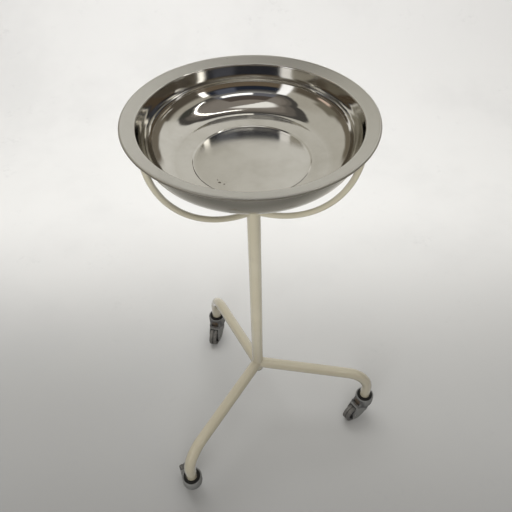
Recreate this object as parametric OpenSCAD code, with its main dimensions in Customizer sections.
// Wash basin resting in a ring cradle on a three-legged tubular stand with swivel casters.
// Units are millimetres, +Z is up. The origin is the centre of the inside face of the
// basin's base disc, on the column's axis. The floor is at z = -base_h.

/* [Tubes] */
// Outside diameter of the column and the legs
tube_d = 25.4; // [24:0.2:27]
// Wall thickness of the column and the legs
tube_wall = 1.6; // [1.2:0.1:2]
// Diameter of the cradle arms and the cradle ring
rod_d = 10.5; // [9:0.5:12]

/* [Column and legs] */
// Height of the column's top edge above the floor
column_top = 680; // [600:5:760]
// Height above the floor where the legs' axes meet the column's axis
hub_h = 201; // [190:1:230]
// Horizontal distance from the column to each caster stem
leg_reach = 269.5; // [250:0.5:320]
// Fall of the legs below the horizontal, in degrees
leg_fall = 8.1; // [5:0.1:10]
// Radius of the bend that turns each leg downwards
leg_bend = 59; // [50:1:65]
// Height above the floor of the legs' lower ends
leg_end = 76; // [76:1:78]
// Turn of the legs about the column, relative to the cradle arms
leg_turn = 24.5; // [0:0.5:60]

/* [Cradle] */
// Radius of the quarter-circle arms, which is also the cradle ring's mean radius
arm_r = 180.5; // [180.5:0.5:183]
// Distance from the column's top down to the arms' axes
arm_drop = 10; // [7:0.5:12]
// Azimuth of the right-hand arm, in degrees
arm_right_az = -25; // [-35:1:-20]

/* [Basin] */
// Outside diameter of the basin's rolled edge
rim_d = 396; // [392:1:410]
// Outside diameter of the basin's wall
wall_d = 350; // [344:1:350]
// Outside radius of the curve from wall to base
bowl_arc = 62; // [58:1:66]
// Height of the upright part of the wall
straight = 7.5; // [5:0.5:9]
// Diameter of the step around the base disc
base_d = 198; // [190:1:200]
// Thickness of the steel sheet
sheet = 1; // [0.8:0.1:1.2]
// Depth of the base disc below the curved part
base_drop = 3; // [2:0.5:4]
// Rise of the flange from its inner bend to the rolled edge
flange_rise = 5.5; // [0.5:0.5:6]
// Radius of the rolled edge
bead_r = 2.5; // [2:0.1:3]

/* [Casters] */
// Wheel diameter
wheel_d = 50; // [48:1:51]
// Wheel width
wheel_w = 20; // [18:0.5:21]
// Distance from the stem to the axle, measured horizontally
trail = 34; // [33:0.5:36]
// Direction in which the right-hand caster trails
trail_right = 214; // [0:1:359]
// Direction in which the rear caster trails
trail_rear = 256; // [0:1:359]
// Direction in which the front caster trails
trail_front = 120; // [0:1:359]
// Outside diameter of the caster's cup
cup_d = 44.6; // [44:0.2:46]

/* [View] */
// Which piece to show

/* [Hidden] */
$fn = 64;

// colours
steel = [0.78, 0.78, 0.76];
rod_cream = [0.86, 0.83, 0.74];
weld_cream = [0.84, 0.81, 0.72];
tube_cream = [0.87, 0.84, 0.75];
foot_black = [0.16, 0.16, 0.16];
plug_black = [0.14, 0.14, 0.14];
collar_black = [0.06, 0.06, 0.06];
bright_steel = [0.7, 0.71, 0.72];
bearing_cream = [0.82, 0.8, 0.74];
retainer_grey = [0.55, 0.56, 0.58];
fork_grey = [0.32, 0.33, 0.33];
wheel_grey = [0.24, 0.24, 0.24];
tyre_grey = [0.2, 0.2, 0.2];

// clearances, and how far a cut starts outside the piece it opens
fit_gap = 0.05;
tight_gap = 0.02;
seat_gap = 0.1;
over = 1;
cross_cut = 60;

tube_r = tube_d / 2;
bore_r = tube_r - tube_wall;
rod_r = rod_d / 2;

// From here on, names ending in _h, _top, _low or _floor are mostly heights above the floor;
// grounded() sets what is drawn that way down to the origin.
arc_h = column_top - arm_drop + arm_r;  // centre of the arms' arcs
ring_h = arc_h - 0.9;

// basin levels and radii
corner_r = 1.5;  // inside radius of the bend from wall to flange
wall_r = wall_d / 2;
base_r = base_d / 2;
bead_centre_r = rim_d / 2 - bead_r;
flange_r = wall_r + corner_r;
flange_tilt = atan(flange_rise / (bead_centre_r - flange_r));
// the flange's sloping underside clears the cradle ring by seat_gap
flange_h = ring_h + (rod_r + seat_gap) / cos(flange_tilt) - (arm_r - flange_r) * tan(flange_tilt);
bowl_centre_h = flange_h - corner_r - straight;
bowl_centre_r = wall_r - bowl_arc;
bowl_low = bowl_centre_h - bowl_arc;
base_h = bowl_low + sheet - base_drop;

// azimuths: arms are right, left, rear; legs and casters are right, rear, front
arm_az = [arm_right_az, 210, 90];
leg_az = [for (i = [0:2]) -30 + 120 * i + leg_turn];
trail_az = [trail_right, trail_rear, trail_front];

module grounded() translate([0, 0, -base_h]) children();
module at_leg(i) grounded() rotate([0, 0, leg_az[i]]) translate([leg_reach, 0, 0]) children();
// the caster's frame: Z is the stem's axis, X points along the trail
module at_caster(i) at_leg(i) rotate([0, 0, trail_az[i] - leg_az[i]]) children();
// inside the caster's frame: Z becomes the axle's axis
module on_axle() translate([trail, 0, wheel_d / 2]) rotate([90, 0, 0]) children();

// points followed by their mirror images in reverse order; flip holds the signs of x and y
function mirrored(points, flip = [1, -1]) = concat(points,
  [for (i = [len(points) - 1 : -1 : 0]) [points[i][0] * flip[0], points[i][1] * flip[1]]]);

// ---- basin ----
step_edge = 0.4;     // width of the step's narrow top and bottom edges
bead_lift = 0.3;     // top of the bead above the flange's outer edge
arc_margin = 5;
bend_window = 20;

// quarter of a hoop, between two radii, in the square from the origin to corner
module bowl_curve() intersection() {
  difference() {
    circle(r = bowl_arc, $fn = 128);
    circle(r = bowl_arc - sheet, $fn = 128);
  }
  translate([0, -bowl_arc - arc_margin])
    square([bowl_arc + arc_margin, bowl_arc + arc_margin]);
}
module flange_bend() intersection() {
  difference() {
    circle(r = corner_r + sheet, $fn = 48);
    circle(r = corner_r, $fn = 48);
  }
  translate([-bend_window, 0]) square([bend_window, bend_window]);
}
// half section of the sheet; each stretch ends on the edge where the next begins
module bowl_section() {
  // base disc, the flat ring around it, and the step between them
  translate([0, bowl_low - base_drop]) square([base_r - base_drop, sheet]);
  translate([base_r, bowl_low]) square([bowl_centre_r - base_r, sheet]);
  translate([base_r, bowl_low])
    polygon([[-base_drop, -base_drop], [step_edge - base_drop, -base_drop], [0, 0],
             [0, sheet], [-step_edge, sheet], [-base_drop, sheet - base_drop]]);
  translate([bowl_centre_r, bowl_centre_h]) bowl_curve();
  // upright wall
  translate([wall_r - sheet, bowl_centre_h]) square([sheet, straight]);
  translate([flange_r, flange_h - corner_r]) flange_bend();
  // flange and rolled edge
  polygon([[flange_r, flange_h], [bead_centre_r, flange_h + flange_rise],
           [bead_centre_r, flange_h + flange_rise + sheet], [flange_r, flange_h + sheet]]);
  translate([bead_centre_r, flange_h + flange_rise + sheet + bead_lift - bead_r])
    circle(r = bead_r, $fn = 32);
}
module basin() color(steel) grounded() rotate_extrude($fn = 96) bowl_section();

// ---- cradle ----
arm_end_drop = 2.6;  // the arms' upper ends stop this far below the ring's centre
arm_sweep = asin((arc_h - ring_h + arm_end_drop) / arm_r);
weld_r = rod_r + 1.4;
weld_reach = tube_r + 1.6;

module ring_solid() translate([0, 0, ring_h])
  rotate_extrude($fn = 96) translate([arm_r, 0]) circle(r = rod_r, $fn = 32);
module cradle_ring() color(rod_cream) grounded() ring_solid();

module arm_bar() translate([0, 0, arc_h]) rotate([90, 0, 0]) rotate([0, 0, -90])
  rotate_extrude(angle = 90 - arm_sweep, $fn = 128)
    translate([arm_r, 0]) circle(r = rod_r, $fn = 32);
// the column's upper end as a solid bar, cut from the arms and welds
module column_core() translate([0, 0, column_top - 60]) cylinder(r = tube_r, h = 80);
module arm(i) color(rod_cream) grounded() rotate([0, 0, arm_az[i]]) difference() {
  arm_bar();
  column_core();
  ring_solid();
}
module arm_right() arm(0);
module arm_left() arm(1);
module arm_rear() arm(2);

module cradle_welds() color(weld_cream) grounded() for (i = [0, 1, 2])
  rotate([0, 0, arm_az[i]]) difference() {
    translate([0, 0, arc_h - arm_r]) rotate([0, 90, 0]) cylinder(r = weld_r, h = weld_reach);
    column_core();
    arm_bar();
  }

// ---- column ----
column_low = hub_h - tube_r / cos(leg_fall) - 6;
column_len = column_top - column_low;
cap_bevel = 1;
cap_depth = 12;   // of the cap's skirt inside the tube
cap_lap = 0.5;    // of the skirt into the cap's head
cap_wall = 2.2;
cap_floor = 2;

module column() color(tube_cream) grounded() translate([0, 0, column_low]) difference() {
  cylinder(r = tube_r, h = column_len);
  translate([0, 0, -over]) cylinder(r = bore_r, h = column_len + 2 * over);
}
// bevelled head above z = 0, hollow skirt below it
module tube_cap(head_h) {
  cylinder(r = tube_r, h = head_h - cap_bevel);
  translate([0, 0, head_h - cap_bevel])
    cylinder(r1 = tube_r, r2 = tube_r - cap_bevel, h = cap_bevel);
  translate([0, 0, -cap_depth]) difference() {
    cylinder(r = bore_r - fit_gap, h = cap_depth + cap_lap);
    translate([0, 0, -over])
      cylinder(r = bore_r - cap_wall, h = cap_depth + cap_lap - cap_floor + over);
  }
}
module column_top_cap() color(tube_cream) grounded()
  translate([0, 0, column_top]) tube_cap(2.5);
module column_foot_cap() color(foot_black) grounded()
  translate([0, 0, column_low]) mirror([0, 0, 1]) tube_cap(3);

// ---- legs ----
// path in the leg's own radial plane
bend_centre_r = leg_reach - leg_bend;
bend_start_r = bend_centre_r + leg_bend * sin(leg_fall);
bend_centre_h = hub_h - bend_start_r * tan(leg_fall) - leg_bend * cos(leg_fall);
leg_run = bend_start_r / cos(leg_fall);
// the bend is drawn a hair stouter than the straights, which run a little way into it
bend_plus = 0.02;
lap = 0.8;
sector_knee = 240;
sector_reach = 700;

module leg_path(r, foot) {
  translate([0, 0, hub_h]) rotate([0, 90 + leg_fall, 0]) cylinder(r = r, h = leg_run + lap);
  translate([bend_centre_r, 0, bend_centre_h]) rotate([90, 0, 0])
    rotate_extrude(angle = 90 - leg_fall, $fn = 96)
      translate([leg_bend, 0]) circle(r = r + bend_plus, $fn = 48);
  translate([leg_reach, 0, foot]) cylinder(r = r, h = bend_centre_h - foot + lap);
}
// 60 degrees either side of the leg, so neighbouring legs don't overlap at the hub
module sector() {
  side = sector_knee * tan(60);
  translate([0, 0, hub_h - 140]) linear_extrude(height = 200)
    polygon([[0, 0], [sector_knee, -side], [sector_reach, -side],
             [sector_reach, side], [sector_knee, side]]);
}
module leg(i) color(tube_cream) grounded() rotate([0, 0, leg_az[i]]) difference() {
  intersection() {
    leg_path(tube_r, leg_end);
    sector();
  }
  leg_path(bore_r, leg_end - over);
  translate([0, 0, hub_h - 60]) cylinder(r = tube_r + fit_gap, h = 120);
}
module leg_right() leg(0);
module leg_rear() leg(1);
module leg_front() leg(2);

// ---- casters ----
wheel_r = wheel_d / 2;
tyre_in = wheel_r - 5;
axle_r = 3;
stem_r = 5;
stem_low = leg_end - 29.5;
stem_top = leg_end + 31;
stem_bevel = 1;
stem_flange_r = 10;
plug_h = 33;
collar_r = 18.25;
collar_top = leg_end + 4.5;
collar_low = leg_end - 6;
cup_r = cup_d / 2;
cup_top = leg_end + 0.5;
cup_floor = leg_end - 11;
skirt_low = leg_end - 30;
boss_low = leg_end - 25;
boss_r = 9;
bearing_h = collar_low - cup_floor - 2 * seat_gap;
fork_in = wheel_w / 2 + 0.7;  // half the space between the cheeks
fork_out = fork_in + 2.2;
cheek_end = trail + 7.5;
hood_in = wheel_r + 1.8;
hood_out = wheel_r + 4.2;
fork_clear = 100;  // above the whole fork

module plug(i) color(plug_black) at_leg(i) difference() {
  translate([0, 0, leg_end]) cylinder(r = bore_r - fit_gap, h = plug_h);
  translate([0, 0, leg_end - over]) cylinder(r = stem_r + tight_gap, h = plug_h);
}
module plug_right() plug(0);
module plug_rear() plug(1);
module plug_front() plug(2);

module stem(i) color(bright_steel) at_leg(i) difference() {
  union() {
    translate([0, 0, stem_low]) cylinder(r = stem_r, h = stem_top - stem_low - stem_bevel);
    translate([0, 0, stem_top - stem_bevel])
      cylinder(r1 = stem_r, r2 = stem_r - stem_bevel, h = stem_bevel);
    translate([0, 0, leg_end - 3]) cylinder(r = stem_flange_r, h = 3 - seat_gap);
  }
  // groove for the retainer
  translate([0, 0, boss_low - 2.4]) difference() {
    cylinder(r = stem_r + 1, h = 1.4);
    translate([0, 0, -over]) cylinder(r = stem_r - 1, h = 4);
  }
}
module stem_right() stem(0);
module stem_rear() stem(1);
module stem_front() stem(2);

// ring around the leg's lower end and the stem's flange; columns are radius, height
module collar(i) color(collar_black) at_leg(i) rotate_extrude()
  polygon([[stem_flange_r + 0.2, collar_low], [collar_r - 1, collar_low],
           [collar_r, collar_low + 1], [collar_r, collar_top - 1.2],
           [collar_r - 1.2, collar_top], [tube_r + 0.1, collar_top],
           [tube_r + 0.1, leg_end - seat_gap], [stem_flange_r + 0.2, leg_end - seat_gap]]);
module collar_right() collar(0);
module collar_rear() collar(1);
module collar_front() collar(2);

// disc with a groove halfway up its edge
module bearing(i) color(bearing_cream) at_leg(i) translate([0, 0, cup_floor + seat_gap])
  difference() {
    cylinder(r = 16, h = bearing_h);
    translate([0, 0, -over]) cylinder(r = stem_r + 0.4, h = 12);
    translate([0, 0, bearing_h / 2 - 0.5]) difference() {
      cylinder(r = 17, h = 1);
      translate([0, 0, -over]) cylinder(r = 14.4, h = 3);
    }
  }
module bearing_right() bearing(0);
module bearing_rear() bearing(1);
module bearing_front() bearing(2);

// slotted washer in the stem's groove
module retainer(i) color(retainer_grey) at_leg(i) translate([0, 0, boss_low - 2.3])
  difference() {
    cylinder(r = 8.5, h = 1.2);
    translate([0, 0, -over]) cylinder(r = stem_r - 0.95, h = 4);
    translate([0, -2.6, -over]) cube([12, 5.2, 4]);
  }
module retainer_right() retainer(0);
module retainer_rear() retainer(1);
module retainer_front() retainer(2);

// fork from the side: X is along the trail, Y is height
module fork_side() {
  // cheeks, from the cup's lower edge to below the axle, round its end and back to the cup
  polygon([[-8, skirt_low], [-1, skirt_low], [8, skirt_low - 9],
    [trail - 15, wheel_r - 8.5], [trail - 10, wheel_r - 14.5], [trail - 4, wheel_r - 18.5],
    [trail + 3, wheel_r - 19], [cheek_end - 3, wheel_r - 15.5], [cheek_end, wheel_r - 10],
    [cheek_end, wheel_r + 14], [trail + 3.5, wheel_r + 24], [trail, wheel_r + 27.5],
    [trail, hood_out + 0.2],
    [cup_r + 3, cup_floor - 4], [cup_r - 2, cup_floor + 6], [-8, cup_floor + 6]]);
  // hood over the top of the tread and its side towards the cup
  intersection() {
    translate([trail, wheel_r]) circle(r = hood_out, $fn = 96);
    polygon([[trail, wheel_r], [4, wheel_r + 10], [4, fork_clear], [trail + 3.5, fork_clear]]);
  }
}
// fork from above: the housing narrows from the cup to the cheeks
module fork_plan() polygon(mirrored([[-8, -17], [6, -cup_r + 1.4],
  [trail, -fork_out - 0.25], [trail + 2, -fork_out], [trail + 30, -fork_out]]));
// fork from its end: X is across the trail, Y is height; the saddle is narrower than the skirt
module fork_end() polygon(mirrored([[30, 0], [30, skirt_low - 18],
  [fork_out - 1, cup_floor - 1], [fork_out - 1, 90]], flip = [-1, 1]));
// half section; columns are radius, height
module cup_solid() rotate_extrude($fn = 96)
  polygon([[0, skirt_low], [cup_r - 5.5, skirt_low], [cup_r - 2.4, skirt_low + 2],
           [cup_r - 0.7, skirt_low + 5], [cup_r, skirt_low + 9],
           [cup_r, cup_top - 1.4], [cup_r - 1.4, cup_top], [0, cup_top]]);
// saddle, hood and cheeks: what the three views have in common
module housing() intersection() {
  translate([0, 40, 0]) rotate([90, 0, 0]) linear_extrude(height = 80) fork_side();
  linear_extrude(height = fork_clear) fork_plan();
  translate([-30, 0, 0]) rotate([90, 0, 90]) linear_extrude(height = 120) fork_end();
}
// space between the cheeks, open below and beyond the axle
module wheel_space() translate([0, fork_in, 0]) rotate([90, 0, 0])
  linear_extrude(height = 2 * fork_in) union() {
    translate([trail, wheel_r]) circle(r = hood_in, $fn = 96);
    translate([trail, -20]) square([60, 200]);
    translate([trail - hood_in, -20]) square([hood_in + 10, wheel_r + 20]);
  }
module fork(i) color(fork_grey) at_caster(i) difference() {
  union() {
    cup_solid();
    housing();
  }
  // cup recess and stem bore
  translate([0, 0, cup_floor]) cylinder(r = collar_r + 0.6, h = 60);
  cylinder(r = stem_r + fit_gap, h = fork_clear);
  wheel_space();
  // dish in the saddle, between the cup and the axle
  translate([cup_r + 0.8, -fork_in + 0.6, cup_floor - 8.5])
    cube([8.5, 2 * fork_in - 1.2, 30]);
  // hollow under the cup, around the boss
  difference() {
    translate([0, 0, -over]) cylinder(r = cup_r - 6.5, h = boss_low + 6);
    cylinder(r = boss_r, h = fork_clear);
    translate([7, -40, 0]) cube([80, 80, fork_clear]);
  }
  // space below the boss
  translate([0, 0, -over]) cylinder(r = boss_r + 2, h = boss_low + over);
  on_axle() cylinder(r = axle_r + tight_gap, h = cross_cut, center = true);
}
module fork_right() fork(0);
module fork_rear() fork(1);
module fork_front() fork(2);

module axle(i) color(bright_steel) at_caster(i) on_axle() {
  cylinder(r = axle_r, h = 2 * fork_out - 1, center = true);
  cylinder(r = axle_r - 0.6, h = 2 * fork_out + 0.2, center = true);
}
module axle_right() axle(0);
module axle_rear() axle(1);
module axle_front() axle(2);

// half of each section, mirrored about the wheel's mid-plane; columns are radius, offset
wheel_half = [
  [0, -wheel_w / 2 - 0.3], [7, -wheel_w / 2 - 0.3], [7, -2.5], [tyre_in - 4, -2.5],
  [tyre_in - 3, -wheel_w / 2 + 1.5], [tyre_in - 0.1, -wheel_w / 2 + 1.5],
  [tyre_in - 0.1, -2.6], [tyre_in + 1.4, -2]];
tyre_half = [
  [tyre_in + 1.5, -2.1], [tyre_in, -2.7], [tyre_in, -wheel_w / 2 + 0.8],
  [wheel_r - 2.4, -wheel_w / 2], [wheel_r - 0.8, -wheel_w / 2 + 0.7],
  [wheel_r, -wheel_w / 2 + 2.4], [wheel_r, -2], [wheel_r - 1, -1.3], [wheel_r - 1.9, -1]];

module wheel(i) color(wheel_grey) at_caster(i) on_axle() difference() {
  rotate_extrude($fn = 96) polygon(mirrored(wheel_half));
  cylinder(r = axle_r + fit_gap, h = cross_cut, center = true);
}
module wheel_right() wheel(0);
module wheel_rear() wheel(1);
module wheel_front() wheel(2);

module tyre(i) color(tyre_grey) at_caster(i) on_axle()
  rotate_extrude($fn = 96) polygon(mirrored(tyre_half));
module tyre_right() tyre(0);
module tyre_rear() tyre(1);
module tyre_front() tyre(2);

basin();
cradle_ring();
arm_right();
arm_left();
arm_rear();
cradle_welds();
column();
column_top_cap();
column_foot_cap();
leg_right();
leg_rear();
leg_front();
plug_right();
plug_rear();
plug_front();
stem_right();
stem_rear();
stem_front();
collar_right();
collar_rear();
collar_front();
bearing_right();
bearing_rear();
bearing_front();
retainer_right();
retainer_rear();
retainer_front();
fork_right();
fork_rear();
fork_front();
axle_right();
axle_rear();
axle_front();
wheel_right();
wheel_rear();
wheel_front();
tyre_right();
tyre_rear();
tyre_front();
